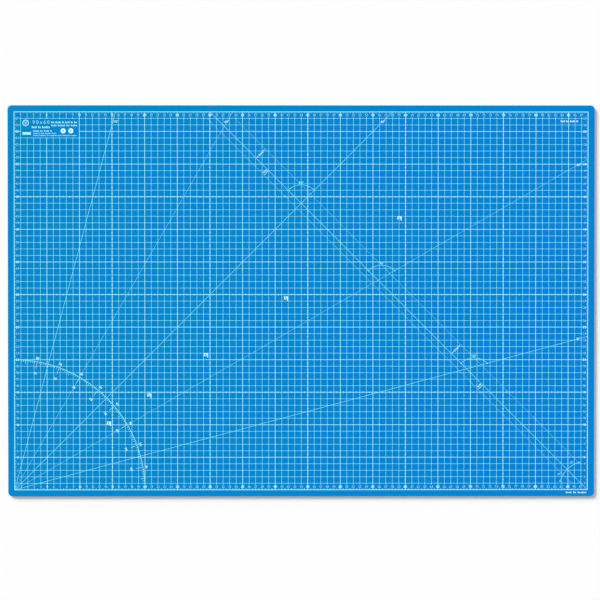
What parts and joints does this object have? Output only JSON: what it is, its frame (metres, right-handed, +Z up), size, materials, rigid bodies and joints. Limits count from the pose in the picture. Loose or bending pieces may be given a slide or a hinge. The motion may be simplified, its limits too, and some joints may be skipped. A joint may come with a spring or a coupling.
{
  "type": "cutting mat",
  "caption": "Flat blue self-healing cutting mat with rounded corners, a printed white centimetre grid, angle lines and a quarter protractor.",
  "frame": {"origin": "middle of the underside, on the surface that the mat rests on", "axes": "+X along the long side, towards the end of the 1 to 87 numbers; +Y along the short side, towards the top of the print; +Z up out of the printed face"},
  "size_m": [0.9, 0.6, 0.0031],
  "materials": {
    "healing_skin": "matte",
    "flex_sheet": "satin",
    "core_sheet": "satin",
    "white_ink": "matte"
  },
  "bodies": {
    "root": {"angle_labels": "white_ink", "angle_lines": "white_ink", "bottom_healing_ply": "healing_skin", "caption_bottom_right": "white_ink", "caption_top_right": "white_ink", "cm_lines_crosswise": "white_ink", "cm_lines_lengthwise": "white_ink", "core_ply": "core_sheet", "corner_mark_45": "white_ink", "crossing_mark_105": "white_ink", "crossing_mark_120": "white_ink", "crossing_mark_90": "white_ink", "edge_ticks_bottom": "white_ink", "edge_ticks_left": "white_ink", "edge_ticks_right": "white_ink", "edge_ticks_top": "white_ink", "five_cm_lines_crosswise": "white_ink", "five_cm_lines_lengthwise": "white_ink", "frame_line": "white_ink", "label_panel": "white_ink", "lower_flex_ply": "flex_sheet", "main_diagonal": "white_ink", "numbers_bottom": "white_ink", "numbers_left": "white_ink", "numbers_right": "white_ink", "numbers_top": "white_ink", "offset_line_far": "white_ink", "offset_line_near": "white_ink", "paper_corner_marks": "white_ink", "protractor_arc": "white_ink", "protractor_numbers_inner": "white_ink", "protractor_numbers_outer": "white_ink", "protractor_ticks": "white_ink", "ruled_lines_crosswise": "white_ink", "ruled_lines_lengthwise": "white_ink", "ruled_ticks_crosswise": "white_ink", "ruled_ticks_lengthwise": "white_ink", "spacing_marks": "white_ink", "top_healing_ply": "healing_skin", "upper_flex_ply": "flex_sheet"}
  },
  "joints": []
}
